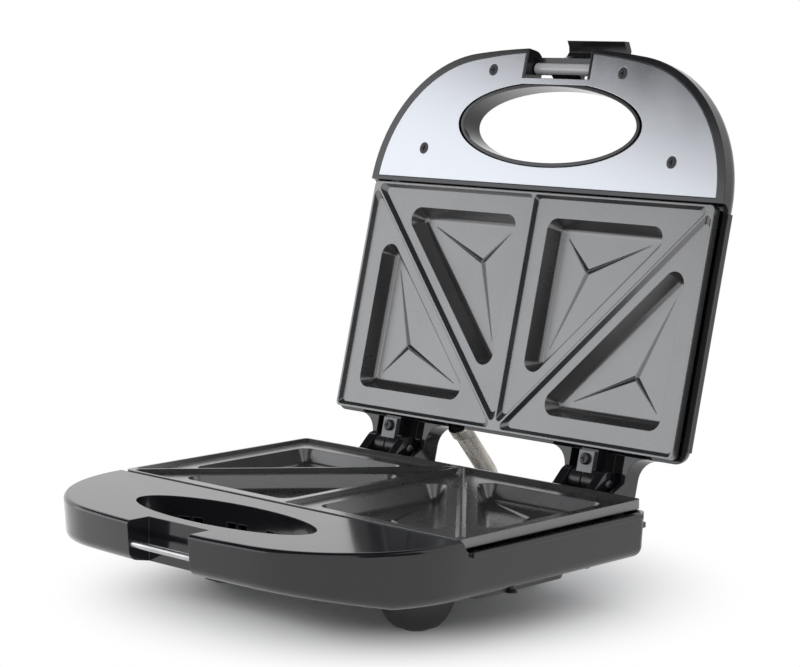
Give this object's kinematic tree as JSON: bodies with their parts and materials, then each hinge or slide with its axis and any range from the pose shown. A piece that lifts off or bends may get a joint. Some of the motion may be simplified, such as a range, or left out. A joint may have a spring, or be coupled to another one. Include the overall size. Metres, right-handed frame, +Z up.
{
  "type": "sandwich toaster",
  "caption": "Hinged sandwich toaster, open: black housings with oval finger openings, ridged cooking plates with triangular pockets, a latch hook, and a ribbed conduit at the hinge.",
  "frame": {"origin": "centre of the open toaster's bounding box in plan, at the table under its foot pads", "axes": "+X to the toaster's right, seen from its front; +Y from the handle towards the hinges; +Z up"},
  "size_m": [0.228, 0.2862, 0.2483],
  "materials": {
    "black_gloss_plastic": "gloss moulded black",
    "black_matte_plastic": "satin moulded black",
    "pad_rubber": "dull black",
    "panel_steel": "bright, fine satin",
    "coated_aluminium": "dark grey non-stick coating, semi-gloss",
    "shield_aluminium": "bare pressed sheet",
    "black_screw_steel": "blackened steel",
    "bare_steel": "bare drawn steel",
    "thermostat_steel": "plated",
    "conduit_nickel": "nickel plated, ribbed",
    "ceramic": "unglazed white",
    "red_lens": "clear red",
    "green_lens": "clear green",
    "lamp_glass": "clear"
  },
  "bodies": {
    "base": {"base_housing": "black_gloss_plastic", "bottom_cover": "black_matte_plastic", "cover_screws": "bare_steel", "foot_pads": "pad_rubber", "lower_plate": "coated_aluminium", "lower_plate_screws": "bare_steel", "lower_heating_element": "bare_steel", "lower_heater_insulators": "ceramic", "lower_heater_clamps": "bare_steel", "lower_clamp_screws": "bare_steel", "lower_heat_shield": "shield_aluminium", "lower_thermostat": "thermostat_steel", "thermal_fuse": "bare_steel", "terminal_block": "ceramic", "supply_cord_gland": "black_matte_plastic", "catch_pin": "bare_steel", "hinge_pin_left": "bare_steel", "hinge_pin_right": "bare_steel", "lower_conduit_gland": "black_matte_plastic", "conduit": "conduit_nickel"},
    "lid": {"lid_housing": "black_gloss_plastic", "lid_top_cover": "black_gloss_plastic", "lid_handle_panel": "panel_steel", "panel_screws": "black_screw_steel", "upper_plate": "coated_aluminium", "upper_plate_screws": "bare_steel", "upper_heating_element": "bare_steel", "upper_heater_insulators": "ceramic", "upper_heater_clamps": "bare_steel", "upper_clamp_screws": "bare_steel", "upper_heat_shield": "shield_aluminium", "upper_thermostat": "thermostat_steel", "power_lens": "red_lens", "ready_lens": "green_lens", "indicator_lamps": "lamp_glass", "hinge_bracket_left": "bare_steel", "hinge_bracket_right": "bare_steel", "bracket_screws": "bare_steel", "latch_axle": "bare_steel", "upper_conduit_ferrule": "conduit_nickel"},
    "latch": {"latch": "black_gloss_plastic"}
  },
  "joints": [
    {"name": "lid_hinge", "type": "hinge", "parent": "base", "child": "lid", "pos_m": [0, 0.05949, 0.049], "axis": [1, 0, 0], "range_deg": [0, 104.5], "deforming": ["conduit"]},
    {"name": "latch_pivot", "type": "hinge", "parent": "lid", "child": "latch", "pos_m": [0, 0.11702, 0.23471], "axis": [1, 0, 0], "range_deg": [0, 125]}
  ]
}
